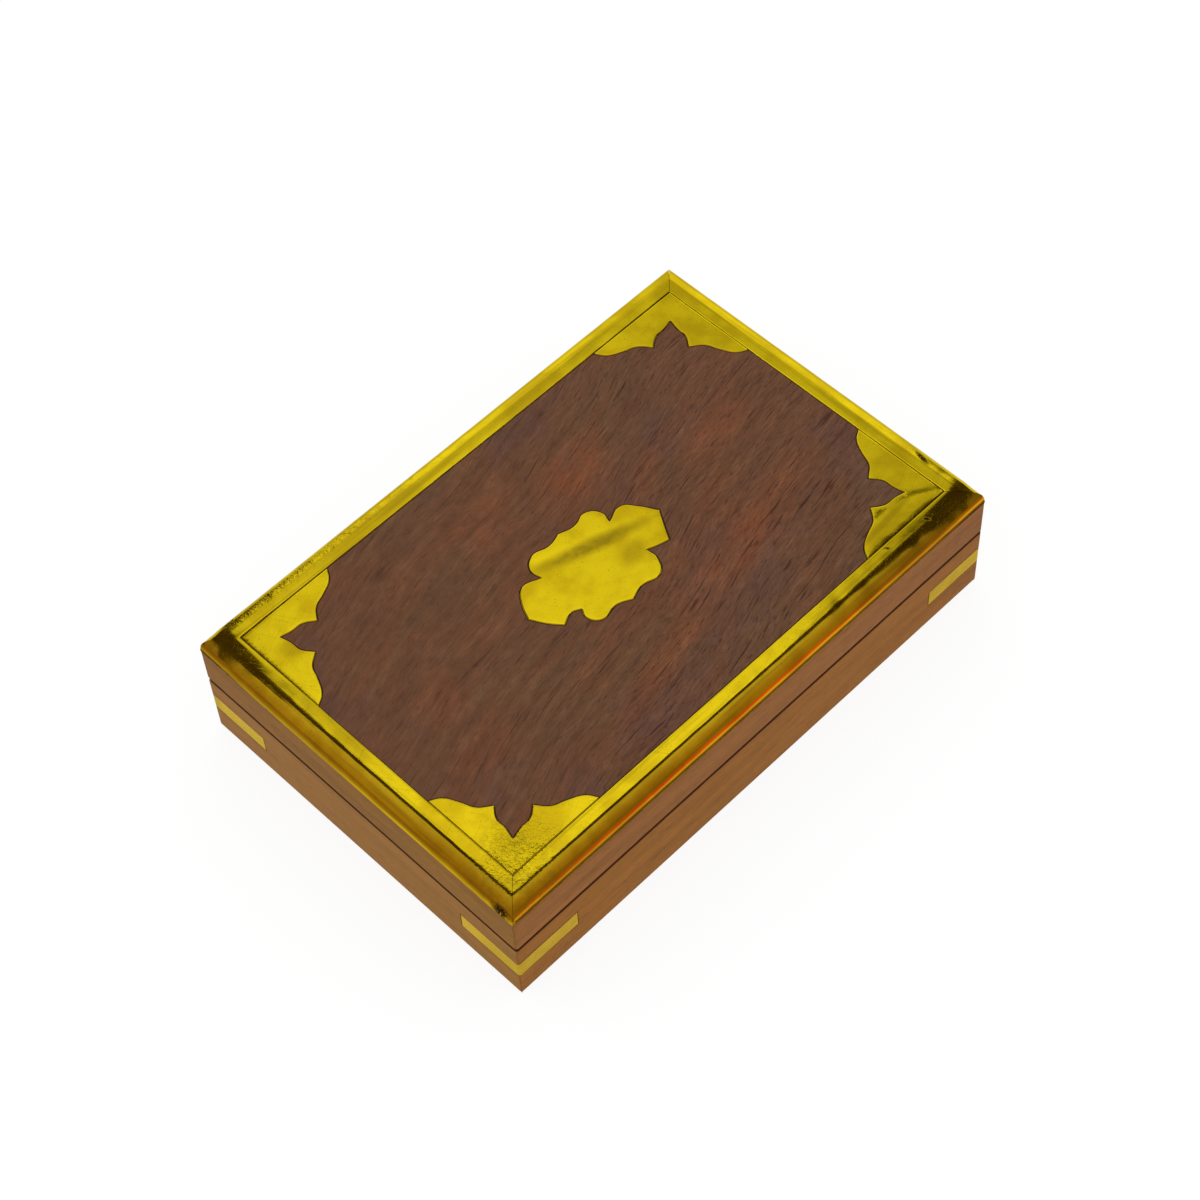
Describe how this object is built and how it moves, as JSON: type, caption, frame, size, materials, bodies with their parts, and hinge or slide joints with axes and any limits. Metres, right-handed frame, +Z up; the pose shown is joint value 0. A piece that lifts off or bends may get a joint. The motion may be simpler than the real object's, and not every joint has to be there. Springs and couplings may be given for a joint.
{
  "type": "playing card box",
  "caption": "Flat hinged wooden playing card box with a divided felted base, brass lid edging, inlaid corner plates and escutcheon, and brass corner straps.",
  "frame": {"origin": "middle of the underside, on the surface that the box stands on", "axes": "+X along the long side, +Y towards the hinged back, +Z up out of the lid"},
  "size_m": [0.1524, 0.1017, 0.0358],
  "materials": {
    "lid_rosewood": "dark figured rosewood, waxed, satin",
    "side_rosewood": "lighter straight-grained rosewood, waxed, satin",
    "inside_rosewood": "plain rosewood, sanded, matt",
    "brass": "hand-polished sheet brass, lightly scratched and wavy",
    "hinge_brass": "plain rolled brass",
    "felt": "short-pile felt"
  },
  "bodies": {
    "base": {"base_front_wall": "side_rosewood", "base_back_wall": "side_rosewood", "base_left_wall": "side_rosewood", "base_right_wall": "side_rosewood", "base_bottom_panel": "inside_rosewood", "base_divider": "inside_rosewood", "card_well_felt_left": "felt", "card_well_felt_right": "felt", "base_corner_strap_front_left": "brass", "base_corner_strap_front_right": "brass", "base_corner_strap_back_left": "brass", "base_corner_strap_back_right": "brass", "hinge_left_base_leaf": "hinge_brass", "hinge_left_pin": "hinge_brass", "hinge_left_base_screw_1": "hinge_brass", "hinge_left_base_screw_2": "hinge_brass", "hinge_right_base_leaf": "hinge_brass", "hinge_right_pin": "hinge_brass", "hinge_right_base_screw_1": "hinge_brass", "hinge_right_base_screw_2": "hinge_brass"},
    "lid": {"lid_panel": "lid_rosewood", "lid_front_rail": "side_rosewood", "lid_back_rail": "side_rosewood", "lid_left_rail": "side_rosewood", "lid_right_rail": "side_rosewood", "lid_front_edging": "brass", "lid_back_edging": "brass", "lid_left_edging": "brass", "lid_right_edging": "brass", "corner_plate_front_left": "brass", "corner_plate_front_right": "brass", "corner_plate_back_left": "brass", "corner_plate_back_right": "brass", "centre_escutcheon": "brass", "hinge_left_lid_leaf": "hinge_brass", "hinge_left_lid_screw_1": "hinge_brass", "hinge_left_lid_screw_2": "hinge_brass", "hinge_right_lid_leaf": "hinge_brass", "hinge_right_lid_screw_1": "hinge_brass", "hinge_right_lid_screw_2": "hinge_brass"}
  },
  "joints": [
    {"name": "lid_hinge", "type": "hinge", "parent": "base", "child": "lid", "pos_m": [0, 0.04965, 0.02], "axis": [-1, 0, 0], "range_deg": [0, 95]}
  ]
}
